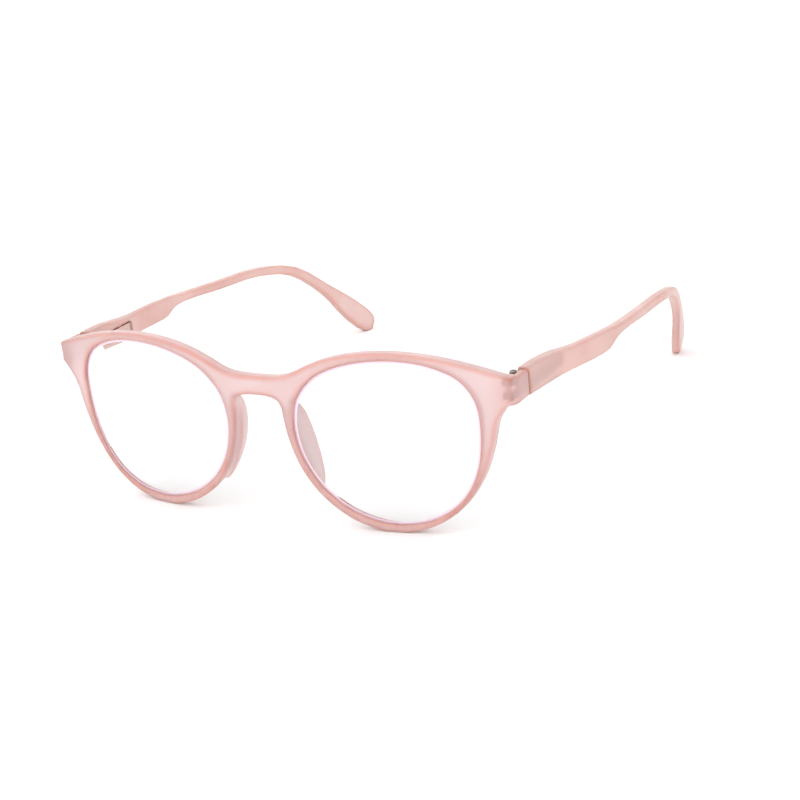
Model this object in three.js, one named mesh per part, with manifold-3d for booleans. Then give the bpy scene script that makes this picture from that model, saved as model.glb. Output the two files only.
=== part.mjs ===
// Blue light glasses: a moulded front, two lenses and two sprung folding temples.
// Units are millimetres. +X is the wearer's left, +Y runs back to the ears, +Z is up.
// The shapes are drawn with the front plane at y = 0 and the rims standing on z = 0.
// The last lines move the whole assembly so that its origin is the bottom centre of its box.
import * as THREE from 'three';
import { mergeVertices } from 'three/addons/utils/BufferGeometryUtils.js';
import Module from 'manifold-3d';

const wasm = await Module();
wasm.setup();

// ---- driving dimensions -------------------------------------------------------------

const WRAP_RADIUS = 268; // the front is wrapped round a cylinder of this radius
const FRONT_DEPTH = 3.3; // front to back of rims and bridge
const FRONT_BEVEL = 0.7;

const LENS_CENTRE = [34.5, 23];
const LENS_THICKNESS = 1.4;
const LENS_BULGE = 0.8; // how far the lens centre stands forward of its edge
const LENS_BITE = 0.7; // how far the lens edge reaches into the rim
const FIT_GAP = 0.12; // clearance between pieces that sit in one another
const OUTLINE_STEPS = 72; // points round each lens
const GROOVE_FRONT = 0.8; // y of the front wall of the lens groove
const PAD_FRONT = 2.6; // the nose pads start behind the lens groove

const BUTT_Y = 16.4; // rear face of the end piece
const TEMPLE_START = BUTT_Y + 0.3; // front face of the temple, across an open gap
const END_INNER_X = 63.6; // inner face of the end piece
const END_OUTER_X = 65.9;
const END_BOTTOM = 32.6;
const END_TOP = 39.4;
const END_BEVEL = 0.7;
const END_ROOT_X = 60.4; // the end piece grows out of the front here
const END_ROOT_Y = [7.6, 10.2];
const END_CORNER = [63.4, 8.1]; // the bend starts here on the outer face
const END_BEND_Y = [11.2, 12.4]; // and ends here, on the outer and the inner face

const PAD_HALF_SIZE = [1.3, 6.2, 12];
const PAD_CENTRE = [8, 3.5, 20.4];
const PAD_TURN = -14; // degrees about the vertical, opening towards the face
const PAD_CURVE = 0.015; // how fast it curves outwards below and above PAD_CURVE_Z
const PAD_CURVE_Z = 28.5;

const PIN_X = 62.3; // hinge pin axis, parallel to Z
const PIN_Y = 15.8;
const KNUCKLE_RADIUS = 1.15;
const PIN_RADIUS = 0.6;
const HINGE_BOTTOM = 33.9;
const EYE_BOTTOM = 35.4;
const EYE_TOP = 37.0;
const HINGE_TOP = 38.3;
const TANG_X = [62.6, 64.9];
const TANG_Y = [9.4, 13.4];
const TANG_Z = [[34.3, 35.7], [37.6, 38.8]];
const LEAF_X = [62.7, 63.5];
const LEAF_Y = [12.6, 14.3];
const HEAD_RADIUS = 0.9; // screw head
const HEAD_HEIGHT = 0.45;
const HEAD_EDGE = 0.15;
const SLOT_WIDTH = 0.28;
const SLOT_DEPTH = 0.2;

const CASE_X = [62.4, 64.8]; // spring case, sunk into the inner face of the temple
const CASE_Y = [18.4, 34.8];
const CASE_Z = [34.0, 36.6];
const CASE_WALL = 0.4;
const CASE_END_WALL = 0.8;
const ROD_X = 63.6; // axis of the spring rod, parallel to Y
const ROD_Z = 35.3;
const ROD_RADIUS = 0.4;
const GUIDE_LENGTH = 2.4;
const SPRING_Y = [21.2, 27.0];
const SPRING_RADIUS = 0.66;
const SPRING_WIRE = 0.14;
const SPRING_TURNS = 7;
const COLLAR_LENGTH = 0.9;
const COLLAR_RADIUS = 0.8;
const ARM_X = [61.4, 63.1];
const ARM_FOOT_X = [61.4, 64.2];
const ARM_FOOT_Y = [17.1, 18.0];
const ARM_FOOT_Z = [34.7, EYE_TOP];
const FOOT_GAP = 0.35; // room round the arm and the knuckles as they turn
const LOCK_PIN_RADIUS = 0.35;
const LOCK_PIN_LENGTH = 0.65;
const LOCK_PIN_Y = 19.7;

// Right half of the front, [across, up]: along the top from the bridge to the corner.
const TOP_EDGE = [
  [0, 38.0], [6, 38.2], [10, 39.2], [14, 41.1], [20, 43.4], [27, 44.9], [34.5, 45.5],
  [42, 45.2], [50, 44.0], [57, 42.3], [62.5, 40.6], [66.2, 39.5],
];
// From the lower corner of the end piece round the rim to its resting flat.
const OUTER_EDGE = [
  [66.2, 34.4], [64, 32.2], [61.9, 29], [60.8, 25], [59.7, 21], [57.4, 15.2], [53.7, 9.4],
  [49.2, 5.0], [43.4, 1.7], [37, 0],
];
// From the resting flat up the nose side and under the bridge.
const NOSE_EDGE = [
  [31, 0], [24.2, 2], [18.8, 5.1], [14.4, 9], [11, 13.7], [8.8, 18.6], [7.5, 23.5],
  [6.9, 28], [6.7, 30.3], [5.7, 32.1], [3.4, 32.9], [0, 33.1],
];
const LENS_OPENING = [
  [57.6, 27.5], [56.8, 34], [53.4, 39], [46, 42.4], [36, 43.5], [25.5, 42.2], [16.8, 38.7],
  [11.4, 33], [9.7, 26], [11.2, 17.8], [15.7, 10.5], [22.9, 5], [33, 2.2], [43.3, 3.5],
  [51.3, 8.6], [56, 16.7],
];

// Stations along one temple: top edge [y, z], bottom edge [y, z], centre x, thickness.
const TEMPLE_STATIONS = [
  { top: [TEMPLE_START, 39.5], bottom: [TEMPLE_START, 32.5], x: 64.3, thick: 3.6 },
  { top: [24, 39.3], bottom: [24, 32.1], x: 64.6, thick: 3.8 },
  { top: [33, 38.1], bottom: [33, 31.6], x: 64.8, thick: 4.2 },
  { top: [37, 37.5], bottom: [37, 31.4], x: 65.4, thick: 3.7 },
  { top: [42, 37.0], bottom: [42, 31.1], x: 66.4, thick: 3.0 },
  { top: [51, 36.4], bottom: [51, 30.5], x: 67.4, thick: 2.8 },
  { top: [57, 35.8], bottom: [56.4, 30.5], x: 67.8, thick: 2.8 },
  { top: [61, 35.4], bottom: [60.2, 31.9], x: 68.0, thick: 2.8 },
  { top: [65.6, 34.9], bottom: [65.2, 32.3], x: 67.8, thick: 2.8 },
  { top: [82, 33.4], bottom: [81.8, 30.8], x: 66.6, thick: 2.8 },
  { top: [100.2, 31.8], bottom: [99.9, 29.2], x: 65.1, thick: 2.8 },
  { top: [115.8, 27.7], bottom: [114.2, 25.1], x: 62.2, thick: 2.8 },
  { top: [128.4, 18.0], bottom: [125.6, 15.3], x: 58.5, thick: 2.6 },
  { top: [136.8, 10.9], bottom: [131.6, 6.1], x: 55.4, thick: 2.8 },
  { top: [142.2, 4.7], bottom: [137.7, 0.1], x: 52.9, thick: 2.8 },
  { top: [142.5, 2.4], bottom: [140.0, -0.1], x: 52.2, thick: 2.0 },
];

// ---- solids ---------------------------------------------------------------------------

function toSolid(geometry) {
  const bare = geometry.clone();
  bare.deleteAttribute('normal');
  bare.deleteAttribute('uv');
  const merged = mergeVertices(bare, 1e-5);
  return new wasm.Manifold(
    new wasm.Mesh({
      numProp: 3,
      vertProperties: new Float32Array(merged.attributes.position.array),
      triVerts: new Uint32Array(merged.index.array),
    }),
  );
}

function toGeometry(solid) {
  const mesh = solid.getMesh();
  const geometry = new THREE.BufferGeometry();
  geometry.setAttribute('position', new THREE.BufferAttribute(new Float32Array(mesh.vertProperties), 3));
  geometry.setIndex(new THREE.BufferAttribute(new Uint32Array(mesh.triVerts), 1));
  return geometry;
}

function join(...geometries) {
  return toGeometry(geometries.map(toSolid).reduce((sum, next) => sum.add(next)));
}

function cut(base, ...tools) {
  return toGeometry(tools.map(toSolid).reduce((rest, tool) => rest.subtract(tool), toSolid(base)));
}

function box([x0, x1], [y0, y1], [z0, z1]) {
  const geometry = new THREE.BoxGeometry(x1 - x0, y1 - y0, z1 - z0);
  return geometry.translate((x0 + x1) / 2, (y0 + y1) / 2, (z0 + z1) / 2);
}

function grow([low, high], by) {
  return [low - by, high + by];
}

function cylinderZ(x, y, [z0, z1], radius, sides = 20) {
  const geometry = new THREE.CylinderGeometry(radius, radius, z1 - z0, sides);
  return geometry.rotateX(Math.PI / 2).translate(x, y, (z0 + z1) / 2);
}

function cylinderY(x, z, [y0, y1], radius, sides = 16) {
  const geometry = new THREE.CylinderGeometry(radius, radius, y1 - y0, sides);
  return geometry.translate(x, (y0 + y1) / 2, z);
}

// The same piece on the other side of the wearer's face.
function mirror(geometry) {
  const flipped = toGeometry(toSolid(geometry)).scale(-1, 1, 1);
  const index = flipped.index.array;
  for (let i = 0; i < index.length; i += 3) {
    [index[i], index[i + 1]] = [index[i + 1], index[i]];
  }
  return flipped;
}

function smoothEdge(points, steps) {
  const curve = new THREE.SplineCurve(points.map(([x, y]) => new THREE.Vector2(x, y)));
  return curve.getPoints(steps);
}

function lensOutline(steps) {
  const points = LENS_OPENING.map(([x, y]) => new THREE.Vector3(x, y, 0));
  return new THREE.CatmullRomCurve3(points, true).getPoints(steps).slice(0, steps);
}

// Moves each point of a closed outline outwards by a set distance.
function offsetOutline(points, distance) {
  return points.map((point, i) => {
    const before = points.at(i - 1);
    const after = points[(i + 1) % points.length];
    const along = new THREE.Vector2(after.x - before.x, after.y - before.y).normalize();
    return new THREE.Vector2(point.x + along.y * distance, point.y - along.x * distance);
  });
}

// Extrudes an outline drawn in the front plane, from y0 at its front to y1 at its back.
function extrudeBack(shape, [y0, y1], bevel, bevelSegments) {
  const geometry = new THREE.ExtrudeGeometry(shape, {
    depth: y1 - y0 - 2 * bevel,
    bevelEnabled: bevel > 0,
    bevelThickness: bevel,
    bevelSize: bevel,
    bevelOffset: -bevel,
    bevelSegments,
  });
  return geometry.rotateX(Math.PI / 2).translate(0, y1 - bevel, 0);
}

// Wraps a flat piece of the front round the wrap cylinder.
function wrap(geometry) {
  const position = geometry.attributes.position;
  for (let i = 0; i < position.count; i += 1) {
    const angle = position.getX(i) / WRAP_RADIUS;
    position.setX(i, WRAP_RADIUS * Math.sin(angle));
    position.setY(i, position.getY(i) + WRAP_RADIUS * (1 - Math.cos(angle)));
  }
  return geometry;
}

// A closed skin through rings of points that all have the same number of points.
function loft(rings) {
  const around = rings[0].length;
  const positions = rings.flat().flatMap((point) => [point.x, point.y, point.z]);
  const index = [];
  for (let ring = 0; ring < rings.length - 1; ring += 1) {
    for (let i = 0; i < around; i += 1) {
      const a = ring * around + i;
      const b = ring * around + ((i + 1) % around);
      index.push(a, b, b + around, a, b + around, a + around);
    }
  }
  const last = (rings.length - 1) * around;
  for (let i = 1; i < around - 1; i += 1) {
    index.push(0, i + 1, i);
    index.push(last, last + i, last + i + 1);
  }
  const geometry = new THREE.BufferGeometry();
  geometry.setAttribute('position', new THREE.Float32BufferAttribute(positions, 3));
  geometry.setIndex(index);
  return geometry;
}

// ---- the front ------------------------------------------------------------------------

function frontSlab() {
  const half = [
    ...smoothEdge(TOP_EDGE, 42),
    ...smoothEdge(OUTER_EDGE, 34),
    ...smoothEdge(NOSE_EDGE, 40),
  ];
  const otherHalf = half
    .filter((point) => point.x > 0.01)
    .reverse()
    .map((point) => new THREE.Vector2(-point.x, point.y));
  const shape = new THREE.Shape([...half, ...otherHalf].reverse());
  const slab = extrudeBack(shape, [0, FRONT_DEPTH], FRONT_BEVEL, 3);
  return wrap(cut(slab, lensHole(), mirror(lensHole())));
}

// The hole through one rim, with softened edges and the groove that holds the lens.
function lensHole() {
  const beyond = 1;
  const grooveBack = GROOVE_FRONT + LENS_THICKNESS + 2 * FIT_GAP;
  const profile = [
    [FRONT_DEPTH + beyond, FRONT_BEVEL],
    [FRONT_DEPTH, FRONT_BEVEL],
    [FRONT_DEPTH - 0.13 * FRONT_BEVEL, 0.5 * FRONT_BEVEL],
    [FRONT_DEPTH - 0.5 * FRONT_BEVEL, 0.13 * FRONT_BEVEL],
    [FRONT_DEPTH - FRONT_BEVEL, 0],
    [grooveBack, 0],
    [grooveBack, LENS_BITE + FIT_GAP],
    [GROOVE_FRONT, LENS_BITE + FIT_GAP],
    [GROOVE_FRONT, 0],
    [FRONT_BEVEL, 0],
    [0.5 * FRONT_BEVEL, 0.13 * FRONT_BEVEL],
    [0.13 * FRONT_BEVEL, 0.5 * FRONT_BEVEL],
    [0, FRONT_BEVEL],
    [-beyond, FRONT_BEVEL],
  ];
  const outline = lensOutline(OUTLINE_STEPS);
  const ringAt = ([y, outset]) => {
    const flat = offsetOutline(outline, outset);
    return flat.map((point) => new THREE.Vector3(point.x, y, point.y));
  };
  return loft(profile.map(ringAt));
}

// Turns back from the corner of the front to the butt joint.
function endPiece() {
  const plan = new THREE.Shape();
  plan.moveTo(END_ROOT_X, END_ROOT_Y[0]);
  plan.lineTo(...END_CORNER);
  plan.quadraticCurveTo(END_OUTER_X, END_CORNER[1] + END_BEVEL, END_OUTER_X, END_BEND_Y[0]);
  plan.lineTo(END_OUTER_X, BUTT_Y);
  plan.lineTo(END_INNER_X, BUTT_Y);
  plan.lineTo(END_INNER_X, END_BEND_Y[1]);
  plan.quadraticCurveTo(END_INNER_X, END_ROOT_Y[1], END_ROOT_X, END_ROOT_Y[1]);
  const geometry = new THREE.ExtrudeGeometry(plan, {
    depth: END_TOP - END_BOTTOM - 2 * END_BEVEL,
    bevelThickness: END_BEVEL,
    bevelSize: END_BEVEL,
    bevelOffset: -END_BEVEL,
    bevelSegments: 2,
    curveSegments: 5,
  });
  return geometry.translate(0, 0, END_BOTTOM + END_BEVEL);
}

// A smooth lobe behind the nose side of the rim, curving out with the rim as it runs down.
function nosePad() {
  const lobe = new THREE.SphereGeometry(1, 20, 16);
  lobe.rotateX(Math.PI / 2);
  lobe.scale(...PAD_HALF_SIZE);
  lobe.rotateZ(THREE.MathUtils.degToRad(PAD_TURN));
  lobe.translate(...PAD_CENTRE);
  const points = lobe.attributes.position;
  for (let i = 0; i < points.count; i += 1) {
    points.setX(i, points.getX(i) + PAD_CURVE * (points.getZ(i) - PAD_CURVE_Z) ** 2);
  }
  return cut(lobe, box([0, 20], [-10, PAD_FRONT], [0, 40]));
}

// Two tangs of the front leaf that reach forward into the plastic of the end piece.
function tangBoxes(clearance) {
  return TANG_Z.map((z) => box(grow(TANG_X, clearance), grow(TANG_Y, clearance), grow(z, clearance)));
}

function frontFrame() {
  const pockets = tangBoxes(FIT_GAP);
  return cut(
    join(frontSlab(), endPiece(), mirror(endPiece()), nosePad(), mirror(nosePad())),
    ...pockets,
    ...pockets.map(mirror),
  );
}

function lens() {
  const outline = offsetOutline(lensOutline(OUTLINE_STEPS), LENS_BITE);
  const centre = new THREE.Vector2(...LENS_CENTRE);
  const edgeFront = GROOVE_FRONT + FIT_GAP;
  const ringAt = (share, y) => outline.map((point) => {
    const bulge = LENS_BULGE * (1 - share * share);
    const spot = centre.clone().lerp(point, share);
    return new THREE.Vector3(spot.x, y - bulge, spot.y);
  });
  const outwards = [0.06, 0.5, 1];
  const back = outwards.map((share) => ringAt(share, edgeFront + LENS_THICKNESS));
  const front = outwards.toReversed().map((share) => ringAt(share, edgeFront));
  return wrap(loft([...back, ...front]));
}

// ---- the temple -------------------------------------------------------------------------

function templeRings(stepsPerStation, around) {
  const curveThrough = (pick) => new THREE.CatmullRomCurve3(TEMPLE_STATIONS.map(pick));
  const top = curveThrough((s) => new THREE.Vector3(s.x, ...s.top));
  const bottom = curveThrough((s) => new THREE.Vector3(s.x, ...s.bottom));
  const thick = curveThrough((s) => new THREE.Vector3(s.thick, 0, 0));
  const steps = stepsPerStation * (TEMPLE_STATIONS.length - 1);
  const rings = [];
  for (let step = 0; step <= steps; step += 1) {
    const high = top.getPoint(step / steps);
    const low = bottom.getPoint(step / steps);
    const middle = high.clone().add(low).divideScalar(2);
    const halfHeight = high.clone().sub(low).divideScalar(2);
    const halfThick = thick.getPoint(step / steps).x / 2;
    rings.push(roundedRing(middle, halfHeight, halfThick, around));
  }
  return rings;
}

// A ring with flat sides and round corners, halfHeight up and halfThick across.
function roundedRing(middle, halfHeight, halfThick, around) {
  const squareness = 0.42;
  const soften = (value) => Math.sign(value) * Math.abs(value) ** squareness;
  const ring = [];
  for (let i = 0; i < around; i += 1) {
    const angle = (2 * Math.PI * (i + 0.5)) / around;
    const point = middle.clone().addScaledVector(halfHeight, soften(Math.cos(angle)));
    point.x += halfThick * soften(Math.sin(angle));
    ring.push(point);
  }
  return ring;
}

function temple() {
  const blade = loft(templeRings(3, 20));
  const belowFloor = box([0, 2 * END_OUTER_X], [0, 2 * WRAP_RADIUS], [-5, 0]);
  const casePocket = box(
    [CASE_X[0] - 1, CASE_X[1] + FIT_GAP],
    grow(CASE_Y, FIT_GAP),
    grow(CASE_Z, FIT_GAP),
  );
  const footNotch = box(
    [ARM_FOOT_X[0], ARM_FOOT_X[1] + FOOT_GAP],
    [BUTT_Y, CASE_Y[0]],
    grow(ARM_FOOT_Z, FOOT_GAP),
  );
  const knuckleRelief = cylinderZ(PIN_X, PIN_Y, [END_BOTTOM - 1, END_TOP + 1], KNUCKLE_RADIUS + FOOT_GAP);
  return cut(blade, casePocket, footNotch, knuckleRelief, belowFloor);
}

// ---- the spring hinge -------------------------------------------------------------------

function frontLeaf() {
  const lower = [HINGE_BOTTOM, EYE_BOTTOM - FIT_GAP];
  const upper = [EYE_TOP + FIT_GAP, HINGE_TOP];
  const plate = box(LEAF_X, LEAF_Y, [HINGE_BOTTOM, HINGE_TOP]);
  const knuckle = (z) => join(
    cylinderZ(PIN_X, PIN_Y, z, KNUCKLE_RADIUS),
    box([LEAF_X[0], PIN_X + KNUCKLE_RADIUS], [LEAF_Y[0], PIN_Y], z),
  );
  const bore = cylinderZ(PIN_X, PIN_Y, [HINGE_BOTTOM - 1, HINGE_TOP + 1], PIN_RADIUS + FIT_GAP);
  return cut(join(plate, knuckle(lower), knuckle(upper), ...tangBoxes(0)), bore);
}

function hingeScrew() {
  const headBottom = HINGE_TOP + FIT_GAP / 2;
  const headTop = headBottom + HEAD_HEIGHT;
  const profile = [
    [0, 0],
    [HEAD_RADIUS, 0],
    [HEAD_RADIUS, HEAD_HEIGHT - HEAD_EDGE],
    [HEAD_RADIUS - HEAD_EDGE, HEAD_HEIGHT],
    [0, HEAD_HEIGHT],
  ];
  const head = new THREE.LatheGeometry(profile.map((point) => new THREE.Vector2(...point)), 20);
  head.rotateX(Math.PI / 2).translate(PIN_X, PIN_Y, headBottom);
  const shank = cylinderZ(PIN_X, PIN_Y, [HINGE_BOTTOM + FIT_GAP, headBottom + FIT_GAP], PIN_RADIUS);
  const slot = box(
    grow([PIN_X, PIN_X], HEAD_RADIUS + 1),
    grow([PIN_Y, PIN_Y], SLOT_WIDTH / 2),
    [headTop - SLOT_DEPTH, headTop + 1],
  );
  return cut(join(head, shank), slot);
}

function slider() {
  const eye = cylinderZ(PIN_X, PIN_Y, [EYE_BOTTOM, EYE_TOP], KNUCKLE_RADIUS);
  const arm = box(ARM_X, [PIN_Y + 0.6, ARM_FOOT_Y[1]], [EYE_BOTTOM, EYE_TOP]);
  const foot = box(ARM_FOOT_X, ARM_FOOT_Y, ARM_FOOT_Z);
  const rod = cylinderY(ROD_X, ROD_Z, [ARM_FOOT_Y[1] - 0.2, SPRING_Y[1] + COLLAR_LENGTH], ROD_RADIUS);
  const bore = cylinderZ(PIN_X, PIN_Y, [EYE_BOTTOM - 1, EYE_TOP + 1], PIN_RADIUS + FIT_GAP);
  return cut(join(eye, arm, foot, rod), bore);
}

function springCase() {
  const shell = box(CASE_X, CASE_Y, CASE_Z);
  const hollow = box(
    grow(CASE_X, -CASE_WALL),
    [CASE_Y[0] - 1, CASE_Y[1] - CASE_END_WALL],
    grow(CASE_Z, -CASE_WALL),
  );
  return cut(shell, hollow, lockPinBody(FIT_GAP));
}

function guideBlock() {
  const block = box(
    grow(CASE_X, -CASE_WALL - FIT_GAP / 2),
    [CASE_Y[0] + 0.1, CASE_Y[0] + 0.1 + GUIDE_LENGTH],
    grow(CASE_Z, -CASE_WALL - FIT_GAP / 2),
  );
  const bore = cylinderY(ROD_X, ROD_Z, grow(CASE_Y, 1), ROD_RADIUS + FIT_GAP);
  return cut(block, bore, lockPinBody(FIT_GAP));
}

// A short pin from the inner side that holds the guide block in the case.
function lockPinBody(clearance) {
  const radius = LOCK_PIN_RADIUS + clearance;
  const pin = new THREE.CylinderGeometry(radius, radius, LOCK_PIN_LENGTH + 2 * clearance, 12);
  return pin.rotateZ(Math.PI / 2).translate(CASE_X[0] + LOCK_PIN_LENGTH / 2, LOCK_PIN_Y, ROD_Z);
}

function collar() {
  const y = [SPRING_Y[1] + 0.06, SPRING_Y[1] + 0.06 + COLLAR_LENGTH];
  const ring = cylinderY(ROD_X, ROD_Z, y, COLLAR_RADIUS);
  return cut(ring, cylinderY(ROD_X, ROD_Z, grow(y, 1), ROD_RADIUS + 0.06));
}

function spring() {
  const turns = [];
  const stepsPerTurn = 9;
  const steps = stepsPerTurn * SPRING_TURNS;
  const [start, end] = grow(SPRING_Y, -SPRING_WIRE - 0.05);
  for (let step = 0; step <= steps; step += 1) {
    const angle = (2 * Math.PI * step) / stepsPerTurn;
    const y = start + ((end - start) * step) / steps;
    const across = SPRING_RADIUS * Math.cos(angle);
    const up = SPRING_RADIUS * Math.sin(angle);
    turns.push(new THREE.Vector3(ROD_X + across, y, ROD_Z + up));
  }
  const section = new THREE.Shape();
  section.absarc(0, 0, SPRING_WIRE, 0, 2 * Math.PI);
  return new THREE.ExtrudeGeometry(section, {
    extrudePath: new THREE.CatmullRomCurve3(turns),
    steps,
    curveSegments: 4,
    bevelEnabled: false,
  });
}

// ---- the assembly -------------------------------------------------------------------------

const FRAME_PLASTIC = { color: 0xebb7b0, roughness: 0.55, metalness: 0 };
const LENS_PLASTIC = { color: 0xe9eef6, roughness: 0.05, metalness: 0 };
const HINGE_METAL = { color: 0xb9b2ac, roughness: 0.35, metalness: 1 };
const SPRING_STEEL = { color: 0x8e9094, roughness: 0.3, metalness: 1 };

const assembly = new THREE.Group();

function addPiece(name, geometry, look) {
  const mesh = new THREE.Mesh(geometry, new THREE.MeshStandardMaterial(look));
  mesh.name = name;
  assembly.add(mesh);
}

function addPair(name, geometry, look) {
  addPiece(`${name}_left`, geometry, look);
  addPiece(`${name}_right`, mirror(geometry), look);
}

addPiece('front_frame', frontFrame(), FRAME_PLASTIC);
addPair('lens', lens(), LENS_PLASTIC);
addPair('temple', temple(), FRAME_PLASTIC);
addPair('front_leaf', frontLeaf(), HINGE_METAL);
addPair('hinge_screw', hingeScrew(), HINGE_METAL);
addPair('slider', slider(), HINGE_METAL);
addPair('spring_case', springCase(), HINGE_METAL);
addPair('guide_block', guideBlock(), HINGE_METAL);
addPair('lock_pin', lockPinBody(0), HINGE_METAL);
addPair('spring_collar', collar(), HINGE_METAL);
addPair('coil_spring', spring(), SPRING_STEEL);

const bounds = new THREE.Box3().setFromObject(assembly);
const centre = bounds.getCenter(new THREE.Vector3());
assembly.position.set(-centre.x, -centre.y, -bounds.min.z);

export default assembly;
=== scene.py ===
import math

import bpy
import numpy as np
from mathutils import Matrix, Vector


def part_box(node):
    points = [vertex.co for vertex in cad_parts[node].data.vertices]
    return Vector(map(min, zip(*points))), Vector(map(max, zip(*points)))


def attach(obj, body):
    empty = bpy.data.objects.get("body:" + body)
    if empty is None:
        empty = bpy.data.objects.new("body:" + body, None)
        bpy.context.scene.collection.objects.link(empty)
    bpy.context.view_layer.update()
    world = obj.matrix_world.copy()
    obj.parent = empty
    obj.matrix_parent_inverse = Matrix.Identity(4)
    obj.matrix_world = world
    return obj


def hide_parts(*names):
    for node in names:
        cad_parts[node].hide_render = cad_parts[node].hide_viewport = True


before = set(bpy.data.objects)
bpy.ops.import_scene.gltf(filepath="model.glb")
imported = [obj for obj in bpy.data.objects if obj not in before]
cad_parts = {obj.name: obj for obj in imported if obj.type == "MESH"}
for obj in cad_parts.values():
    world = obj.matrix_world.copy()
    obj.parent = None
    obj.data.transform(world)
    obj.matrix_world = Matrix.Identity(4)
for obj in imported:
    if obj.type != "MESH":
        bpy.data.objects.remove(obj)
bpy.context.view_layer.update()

MM = 0.001
SIDES = {"left": 1, "right": -1}  # the sign of x on each side
FRONT_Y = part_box("front_frame")[0][1] / MM  # depths are counted from here backwards

# The plastic shells are fine copies of the CAD solids, softened by a few smoothing passes.
SHELL_VOXEL = 0.27 * MM
SHELL_SMOOTHING = 5

# Each point of a shell stores how narrow the plastic is there: from 0 on wide flat areas to 1 on
# narrow round rims. Heavy smoothing takes more off a narrow rim, which tells the two apart.
ROUNDNESS = "roundness"
ROUND_SMOOTHING = 60
ROUND_SHRINKAGE = 0.27 * MM  # what the smoothing takes off a narrow round rim
END_ROUNDNESS = 0.35  # the least value on the thick end pieces
END_START = 60 * MM
END_BLEND = 4 * MM

# The nose pads are smoothed more the further they stand out behind the rims.
PAD_SMOOTHING = 110
PAD_REACH = 19 * MM
PAD_TOP = 33.5 * MM
PAD_BLEND_START = 2.3  # in mm of depth, like the length below
PAD_BLEND_LENGTH = 1.2

# Creases are rounded out in two zones: round the nose pads and round the end pieces.
CREASE_FILL = 1.7
PAD_CREASE_REACH = 18 * MM
PAD_CREASE_TOP = 34 * MM
PAD_CREASE_START = 2.6 * MM
END_CREASE_INNER = 59.5 * MM
END_CREASE_REAR = 10.5 * MM

# The shell is cut back beside the hinge, so that the slider can turn past it.
HINGE_CLEARANCE = 0.15 * MM
HINGE_INNER = 61 * MM
HINGE_OUTER = 65.2 * MM
HINGE_START = 11.5 * MM

# Plastic colours, each as the two ends of a faint cloud pattern.
FRONT_WIDE = [(0.83, 0.66, 0.66), (0.86, 0.71, 0.71)]
FRONT_NARROW = [(0.76, 0.33, 0.26), (0.80, 0.39, 0.32)]
TEMPLE_WIDE = [(0.81, 0.57, 0.53), (0.86, 0.68, 0.65)]
TEMPLE_NARROW = [(0.75, 0.40, 0.33), (0.81, 0.50, 0.43)]
CLOUD_STOPS = (0.35, 0.65)
PLASTIC_ABSORPTION = (0.96, 0.62, 0.55, 1)
# Painted reflection: the lens coating's violet-pink sheen on the bevel, as a flat colour.
LENS_EDGE_REFLECTION = (0.97, 0.82, 0.93, 1)

LEAF_COLOUR = (0.98, 0.85, 0.8)
SLIDER_COLOUR = (0.93, 0.82, 0.78)
CASE_COLOUR = (0.7, 0.5, 0.45)
SCREW_COLOUR = (0.3, 0.25, 0.23)
SPRING_COLOUR = (0.5, 0.5, 0.52)
STREAKS_ALONG = (9000, 1200, 9000)  # drawn out along y
STREAKS_ACROSS = (1200, 9000, 1200)
METAL_EDGE = 0.04 * MM
SPRING_EDGE = 0.01 * MM

# The metal carries painted shade up to the end of the tangs, where the embedded tangs shade the
# plastic, and from the end wall of the spring case on, as a painted shadow at the case's rear end.
TANG_END = 12.5  # in mm of depth, like the next one
CASE_REAR = 33.6
TANG_PAINTED_SHADE = (0.4, 0.07, 0.05, 1)
CASE_END_PAINTED_SHADE = (0.36, 0.24, 0.21, 1)

# The lens, in mm. The outline repeats the lens opening of the CAD front, as (across, up).
LENS_OPENING = [
    (57.6, 27.5), (56.8, 34), (53.4, 39), (46, 42.4), (36, 43.5), (25.5, 42.2), (16.8, 38.7),
    (11.4, 33), (9.7, 26), (11.2, 17.8), (15.7, 10.5), (22.9, 5), (33, 2.2), (43.3, 3.5),
    (51.3, 8.6), (56, 16.7),
]
LENS_CENTRE = Vector((34.5, 23))
LENS_RADIUS = 24
LENS_BITE = 0.62  # how far the lens reaches into the groove of the rim
LENS_EDGE_WIDTH = 1.25  # the bevelled rim of the lens, which carries a painted reflection of the coating's violet-pink tint
LENS_EDGE_DROP = 0.32
LENS_BULGE = 0.8
LENS_FRONT = 0.92
LENS_THICKNESS = 1.4
LENS_SHARP_ANGLE = math.radians(14)
WRAP_RADIUS = 268  # of the curve that the front follows from side to side
LENS_STEPS = 160
LENS_RINGS = 12

FLOOR_REACH = 4
LIGHT_AIM = Vector((0, 0, 0.02))
WORLD_STRENGTH = 1.28

CAMERA_AZIMUTH = 31.118
CAMERA_ELEVATION = 19.917
CAMERA_ROLL = 6.336
CAMERA_DISTANCE = 0.5006
CAMERA_AIM = Vector((0.00887, -0.01874, 0.01328))
CAMERA_LENS = 84.87


# ---- materials -----------------------------------------------------------------------


def new_material(name):
    material = bpy.data.materials.new(name)
    material.use_nodes = True
    tree = material.node_tree
    shader = tree.nodes["Principled BSDF"]
    return material, tree, shader


def object_noise(tree, scale, detail=2.0, roughness=0.5, distortion=0.0):
    place = tree.nodes.new("ShaderNodeTexCoord")
    noise = tree.nodes.new("ShaderNodeTexNoise")
    noise.inputs["Scale"].default_value = scale
    noise.inputs["Detail"].default_value = detail
    noise.inputs["Roughness"].default_value = roughness
    noise.inputs["Distortion"].default_value = distortion
    tree.links.new(place.outputs["Object"], noise.inputs["Vector"])
    return noise.outputs["Fac"]


def ramp(tree, source, stops):
    node = tree.nodes.new("ShaderNodeValToRGB")
    elements = node.color_ramp.elements
    while len(elements) < len(stops):
        elements.new(0.5)
    for element, (position, colour) in zip(elements, stops):
        element.position = position
        element.color = (*colour, 1)
    tree.links.new(source, node.inputs["Fac"])
    return node.outputs["Color"]


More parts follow.
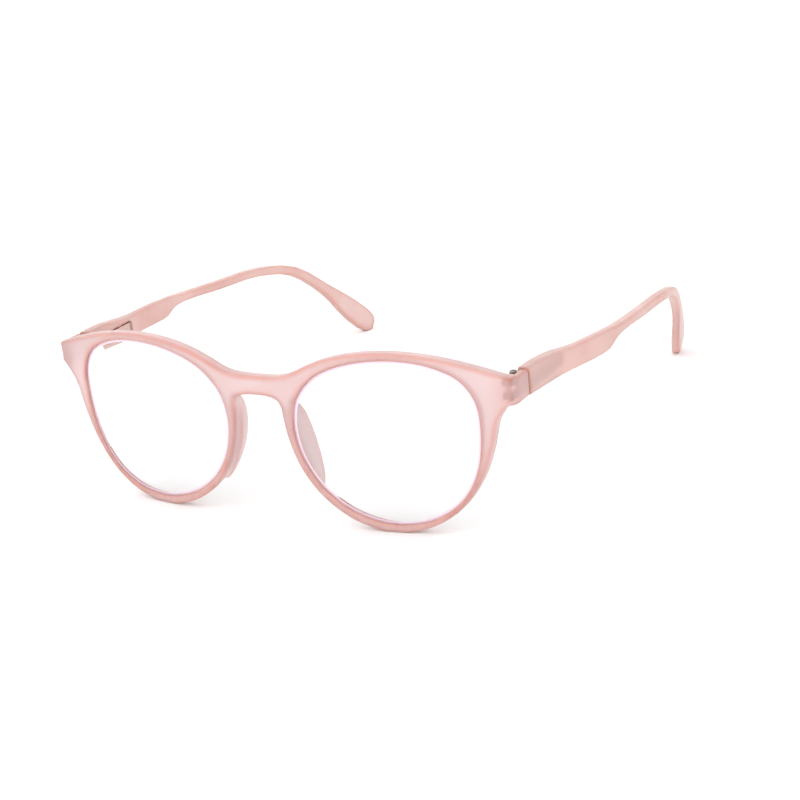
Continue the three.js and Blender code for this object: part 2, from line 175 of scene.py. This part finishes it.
def value_range(tree, source, low, high):
    node = tree.nodes.new("ShaderNodeMapRange")
    node.inputs["To Min"].default_value = low
    node.inputs["To Max"].default_value = high
    tree.links.new(source, node.inputs["Value"])
    return node.outputs["Result"]


def add_bump(tree, shader, height, distance, strength):
    bump = tree.nodes.new("ShaderNodeBump")
    bump.inputs["Distance"].default_value = distance
    bump.inputs["Strength"].default_value = strength
    tree.links.new(height, bump.inputs["Height"])
    tree.links.new(bump.outputs["Normal"], shader.inputs["Normal"])


def blend_colours(tree, factor, first):
    """A blend from the first colour to whatever is put into its socket B."""
    blend = tree.nodes.new("ShaderNodeMix")
    blend.data_type = "RGBA"
    tree.links.new(factor, blend.inputs["Factor"])
    tree.links.new(first, blend.inputs["A"])
    return blend


def frosted_plastic(name, wide_tones, narrow_tones):
    """Matte see-through plastic: it blurs what lies behind it and is rosier where it is narrow."""
    material, tree, shader = new_material(name)
    shader.inputs["Transmission Weight"].default_value = 0.5
    shader.inputs["IOR"].default_value = 1.49
    cloud = object_noise(tree, 55, detail=3, distortion=0.6)
    wide = ramp(tree, cloud, list(zip(CLOUD_STOPS, wide_tones)))
    narrow = ramp(tree, cloud, list(zip(CLOUD_STOPS, narrow_tones)))
    roundness = tree.nodes.new("ShaderNodeAttribute")
    roundness.attribute_name = ROUNDNESS
    blend = blend_colours(tree, roundness.outputs["Fac"], wide)
    tree.links.new(narrow, blend.inputs["B"])
    tree.links.new(blend.outputs["Result"], shader.inputs["Base Color"])
    grain = object_noise(tree, 6500, detail=4, roughness=0.6)
    tree.links.new(value_range(tree, grain, 0.28, 0.42), shader.inputs["Roughness"])
    add_bump(tree, shader, grain, 0.00002, 0.5)
    absorb = tree.nodes.new("ShaderNodeVolumeAbsorption")
    absorb.inputs["Color"].default_value = PLASTIC_ABSORPTION
    absorb.inputs["Density"].default_value = 110
    output = tree.nodes["Material Output"]
    tree.links.new(absorb.outputs["Volume"], output.inputs["Volume"])
    return material


def clear_resin():
    material, _tree, shader = new_material("clear_resin")
    shader.inputs["Base Color"].default_value = (1, 1, 1, 1)
    shader.inputs["Transmission Weight"].default_value = 1
    shader.inputs["IOR"].default_value = 1.5
    shader.inputs["Roughness"].default_value = 0.0
    return material


# Painted reflection of the lens coating, a flat colour on the lens bevel.
def painted_reflection_edge():
    material, _tree, shader = new_material("painted_reflection_edge")
    shader.inputs["Base Color"].default_value = LENS_EDGE_REFLECTION
    shader.inputs["IOR"].default_value = 1.5
    shader.inputs["Roughness"].default_value = 0.3
    return material


def paint_depth_shade(tree, place, colour, comparison, depth, shade_colour):
    """Paints shade onto what lies in front of ("LESS_THAN") or behind ("GREATER_THAN") a depth in
    mm.
    """
    position = tree.nodes.new("ShaderNodeSeparateXYZ")
    beyond = tree.nodes.new("ShaderNodeMath")
    beyond.operation = comparison
    beyond.inputs[1].default_value = (FRONT_Y + depth) * MM
    tree.links.new(place.outputs["Object"], position.inputs["Vector"])
    tree.links.new(position.outputs["Y"], beyond.inputs[0])
    blend = blend_colours(tree, beyond.outputs["Value"], colour)
    blend.inputs["B"].default_value = shade_colour
    return blend.outputs["Result"]


def brushed_metal(name, colour, streak_scale, painted_shade_zone=None):
    material, tree, shader = new_material(name)
    shader.inputs["Metallic"].default_value = 1
    place = tree.nodes.new("ShaderNodeTexCoord")
    mapping = tree.nodes.new("ShaderNodeMapping")
    mapping.inputs["Scale"].default_value = streak_scale
    streaks = tree.nodes.new("ShaderNodeTexNoise")
    streaks.inputs["Scale"].default_value = 1
    streaks.inputs["Detail"].default_value = 5
    tree.links.new(place.outputs["Object"], mapping.inputs["Vector"])
    tree.links.new(mapping.outputs["Vector"], streaks.inputs["Vector"])
    streak = streaks.outputs["Fac"]
    shade = tuple(0.72 * channel for channel in colour)
    tone = ramp(tree, streak, [(0.3, shade), (0.7, colour)])
    # painted shade over one depth zone of the metal
    if painted_shade_zone:
        tone = paint_depth_shade(tree, place, tone, *painted_shade_zone)
    tree.links.new(tone, shader.inputs["Base Color"])
    tree.links.new(value_range(tree, streak, 0.22, 0.42), shader.inputs["Roughness"])
    add_bump(tree, shader, streak, 0.00001, 0.4)
    return material


# ---- plastic shells --------------------------------------------------------------------


def link(obj):
    bpy.context.scene.collection.objects.link(obj)
    return obj


def add_smoothing(obj, name, passes):
    smooth = obj.modifiers.new(name, "SMOOTH")
    smooth.factor = 0.5
    smooth.iterations = passes
    return smooth


def bake_modifiers(obj):
    """Replaces the object's mesh by what its modifiers make of it."""
    graph = bpy.context.evaluated_depsgraph_get()
    finished = bpy.data.meshes.new_from_object(obj.evaluated_get(graph), depsgraph=graph)
    obj.modifiers.clear()
    obj.data = finished


def vector_array(items, field):
    values = np.empty(len(items) * 3, np.float32)
    items.foreach_get(field, values)
    return values.reshape(-1, 3)


def smoothing_push(shell):
    """How far heavy smoothing would move each point out of the surface, negative inwards."""
    smooth = add_smoothing(shell, "measure", ROUND_SMOOTHING)
    graph = bpy.context.evaluated_depsgraph_get()
    graph.update()
    smoothed = vector_array(shell.evaluated_get(graph).data.vertices, "co")
    shell.modifiers.remove(smooth)
    normals = vector_array(shell.data.vertex_normals, "vector")
    push = ((smoothed - vector_array(shell.data.vertices, "co")) * normals).sum(axis=1)
    return push, normals


def blend_pads(shell):
    """Lets the nose pads flow into the back of the rims."""
    points = vector_array(shell.data.vertices, "co")
    depth = points[:, 1] / MM - FRONT_Y
    near_nose = (np.abs(points[:, 0]) < PAD_REACH) & (points[:, 2] < PAD_TOP)
    weights = np.clip((depth - PAD_BLEND_START) / PAD_BLEND_LENGTH, 0, 1) * near_nose
    group = shell.vertex_groups.new(name="pads")
    for index in np.flatnonzero(weights):
        group.add([int(index)], float(weights[index]), "REPLACE")
    smooth = add_smoothing(shell, "pads", PAD_SMOOTHING)
    smooth.vertex_group = group.name
    bake_modifiers(shell)


def shape_front(shell, push, normals):
    """Rounds out the creases at the nose pads and end pieces; keeps clear of the hinge."""
    mesh = shell.data
    points = vector_array(mesh.vertices, "co")
    across = np.abs(points[:, 0])
    height = points[:, 2]
    depth = points[:, 1] - FRONT_Y * MM
    at_pad = (across < PAD_CREASE_REACH) & (height < PAD_CREASE_TOP) & (depth > PAD_CREASE_START)
    at_end = (across > END_CREASE_INNER) & (depth < END_CREASE_REAR)
    outwards = CREASE_FILL * np.clip(push, 0, None) * (at_pad | at_end)
    beside_hinge = (across > HINGE_INNER) & (across < HINGE_OUTER) & (depth > HINGE_START)
    outwards -= HINGE_CLEARANCE * beside_hinge
    mesh.vertices.foreach_set("co", (points + normals * outwards[:, None]).ravel())
    mesh.update()


def mark_roundness(shell, push):
    """Stores how narrow the plastic is; the thick end pieces count as partly narrow."""
    across = np.abs(vector_array(shell.data.vertices, "co")[:, 0])
    at_end = END_ROUNDNESS * np.clip((across - END_START) / END_BLEND, 0, 1)
    roundness = np.clip(np.maximum(-push / ROUND_SHRINKAGE, at_end), 0, 1)
    attribute = shell.data.attributes.new(ROUNDNESS, "FLOAT", "POINT")
    attribute.data.foreach_set("value", roundness)


def moulded_shell(node, name, body, material):
    """A fine, soft-edged copy of a CAD solid, standing for it."""
    shell = link(bpy.data.objects.new(name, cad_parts[node].data.copy()))
    remesh = shell.modifiers.new("remesh", "REMESH")
    remesh.mode = "VOXEL"
    remesh.voxel_size = SHELL_VOXEL
    add_smoothing(shell, "smooth", SHELL_SMOOTHING)
    bpy.context.view_layer.update()
    bake_modifiers(shell)
    if body == "front":
        blend_pads(shell)
    push, normals = smoothing_push(shell)
    mark_roundness(shell, push)
    if body == "front":
        shape_front(shell, push, normals)
    shell.data.shade_smooth()
    shell.data.materials.clear()
    shell.data.materials.append(material)
    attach(shell, body)
    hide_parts(node)


# ---- lenses and metal ------------------------------------------------------------------


def closed_curve(points, steps):
    """Points spaced along a smooth closed curve through the given points."""
    count = len(points)
    curve = []
    for step in range(steps):
        whole, t = divmod(step * count / steps, 1)
        p0, p1, p2, p3 = (Vector(points[(int(whole) + k) % count]) for k in (-1, 0, 1, 2))
        curve.append(0.5 * (
            2 * p1 + (p2 - p0) * t + (2 * p0 - 5 * p1 + 4 * p2 - p3) * t**2
            + (3 * p1 - p0 - 3 * p2 + p3) * t**3
        ))
    return curve


def lens_mesh(sign):
    """Rings from the middle of the lens's front over its edge to the middle of its back."""
    opening = closed_curve(LENS_OPENING, LENS_STEPS)
    reach = [(p - LENS_CENTRE).length for p in opening]
    directions = [(p - LENS_CENTRE).normalized() for p in opening]

    def point(i, share, y):
        flat = LENS_CENTRE + directions[i] * (reach[i] + LENS_BITE) * share
        bulge = LENS_BULGE * (1 - share**2)
        angle = flat.x / WRAP_RADIUS
        across = WRAP_RADIUS * math.sin(angle)
        back = y - bulge + WRAP_RADIUS * (1 - math.cos(angle))
        return Vector((sign * across, back + FRONT_Y, flat.y)) * MM

    edge_share = 1 - LENS_EDGE_WIDTH / LENS_RADIUS
    shares = [edge_share * (k / LENS_RINGS) for k in range(1, LENS_RINGS + 1)]
    rear = LENS_FRONT + LENS_THICKNESS
    front_rings = [(share, LENS_FRONT) for share in shares] + [(1, LENS_FRONT + LENS_EDGE_DROP)]
    back_rings = [(1, rear)] + [(share, rear) for share in reversed(shares)]
    rings = front_rings + back_rings
    vertices = [point(i, share, y) for share, y in rings for i in range(LENS_STEPS)]
    faces = []
    for ring in range(len(rings) - 1):
        for i in range(LENS_STEPS):
            a = ring * LENS_STEPS + i
            b = ring * LENS_STEPS + (i + 1) % LENS_STEPS
            faces.append((a, b, b + LENS_STEPS, a + LENS_STEPS))
    last = (len(rings) - 1) * LENS_STEPS
    faces.append(tuple(reversed(range(LENS_STEPS))))
    faces.append(tuple(last + i for i in range(LENS_STEPS)))
    if sign > 0:
        faces = [tuple(reversed(face)) for face in faces]
    mesh = bpy.data.meshes.new("lens")
    mesh.from_pydata(vertices, [], faces)
    mesh.update()
    # The bevel faces take the painted reflection of the coating.
    bevel_start = (LENS_RINGS - 1) * LENS_STEPS
    for polygon in mesh.polygons[bevel_start:bevel_start + 2 * LENS_STEPS]:
        polygon.material_index = 1
    mesh.shade_smooth()
    mesh.set_sharp_from_angle(angle=LENS_SHARP_ANGLE)
    return mesh


def add_lens(side, resin, edge):
    lens = link(bpy.data.objects.new(f"lens_resin_{side}", lens_mesh(SIDES[side])))
    lens.data.materials.append(resin)
    lens.data.materials.append(edge)
    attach(lens, "front")
    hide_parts(f"lens_{side}")


def finish_metal(node, material, edge):
    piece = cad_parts[node]
    for slot in piece.material_slots:
        slot.link = "OBJECT"
        slot.material = material
    bevel = piece.modifiers.new("edge", "BEVEL")
    bevel.width = edge
    bevel.segments = 2
    bevel.limit_method = "ANGLE"
    bevel.angle_limit = math.radians(40)
    bevel.harden_normals = True


# ---- stage, light and camera ----------------------------------------------------------


def add_stage():
    signs = [(-1, -1), (1, -1), (1, 1), (-1, 1)]
    corners = [(x * FLOOR_REACH, y * FLOOR_REACH, 0) for x, y in signs]
    mesh = bpy.data.meshes.new("floor")
    mesh.from_pydata(corners, [], [(0, 1, 2, 3)])
    floor = link(bpy.data.objects.new("floor", mesh))
    material, _tree, shader = new_material("floor_paper")
    shader.inputs["Base Color"].default_value = (0.9, 0.9, 0.9, 1)
    shader.inputs["Roughness"].default_value = 0.9
    shader.inputs["Specular IOR Level"].default_value = 0.1
    mesh.materials.append(material)


def add_light(name, location, size, power):
    data = bpy.data.lights.new(name, "AREA")
    data.shape = "DISK"
    data.size = size
    data.energy = power
    light = link(bpy.data.objects.new(name, data))
    light.location = location
    light.rotation_euler = (LIGHT_AIM - Vector(location)).to_track_quat("-Z", "Y").to_euler()


def add_world():
    world = bpy.data.worlds.new("studio")
    world.use_nodes = True
    background = world.node_tree.nodes["Background"]
    background.inputs["Color"].default_value = (1, 1, 1, 1)
    background.inputs["Strength"].default_value = WORLD_STRENGTH
    bpy.context.scene.world = world


def add_camera():
    azimuth, elevation, roll = map(math.radians, (CAMERA_AZIMUTH, CAMERA_ELEVATION, CAMERA_ROLL))
    right = Vector((math.cos(azimuth), math.sin(azimuth), 0))
    back = Vector((
        math.sin(azimuth) * math.cos(elevation),
        -math.cos(azimuth) * math.cos(elevation),
        math.sin(elevation),
    ))
    up = back.cross(right)
    tilted_right = right * math.cos(roll) - up * math.sin(roll)
    tilted_up = right * math.sin(roll) + up * math.cos(roll)
    turn = Matrix((tilted_right, tilted_up, back)).transposed()
    data = bpy.data.cameras.new("camera")
    data.sensor_width = 36
    data.lens = CAMERA_LENS
    data.clip_start = 0.01
    camera = link(bpy.data.objects.new("camera", data))
    camera.matrix_world = Matrix.Translation(CAMERA_AIM + back * CAMERA_DISTANCE) @ turn.to_4x4()
    bpy.context.scene.camera = camera


# ---- the assembly ----------------------------------------------------------------------

add_camera()
add_world()
add_stage()
add_light("softbox", (-0.5, -0.5, 0.9), 0.7, 2)
add_light("low_fill", (0.1, -0.8, 0.12), 0.5, 0.5)

front_plastic = frosted_plastic("front_plastic", FRONT_WIDE, FRONT_NARROW)
moulded_shell("front_frame", "front_shell", "front", front_plastic)
temple_plastic = frosted_plastic("temple_plastic", TEMPLE_WIDE, TEMPLE_NARROW)
for side in SIDES:
    moulded_shell(f"temple_{side}", f"temple_shell_{side}", f"arm_{side}", temple_plastic)

resin = clear_resin()
edge = painted_reflection_edge()
for side in SIDES:
    add_lens(side, resin, edge)

# painted shade on the tangs, and a painted shadow on the rear end of the spring case
tang_painted_shade = ("LESS_THAN", TANG_END, TANG_PAINTED_SHADE)
case_end_painted_shade = ("GREATER_THAN", CASE_REAR, CASE_END_PAINTED_SHADE)
slider_steel = brushed_metal("slider_steel", SLIDER_COLOUR, STREAKS_ALONG)
metals = {
    "front_leaf": brushed_metal("leaf_steel", LEAF_COLOUR, STREAKS_ALONG, tang_painted_shade),
    "slider": slider_steel,
    "guide_block": slider_steel,
    "lock_pin": slider_steel,
    "spring_collar": slider_steel,
    "spring_case": brushed_metal("case_steel", CASE_COLOUR, STREAKS_ALONG, case_end_painted_shade),
    "hinge_screw": brushed_metal("screw_steel", SCREW_COLOUR, STREAKS_ALONG),
}
spring_steel = brushed_metal("spring_steel", SPRING_COLOUR, STREAKS_ACROSS)
for side in SIDES:
    for part, metal in metals.items():
        finish_metal(f"{part}_{side}", metal, METAL_EDGE)
    finish_metal(f"coil_spring_{side}", spring_steel, SPRING_EDGE)

bpy.context.scene.view_settings.view_transform = "Standard"
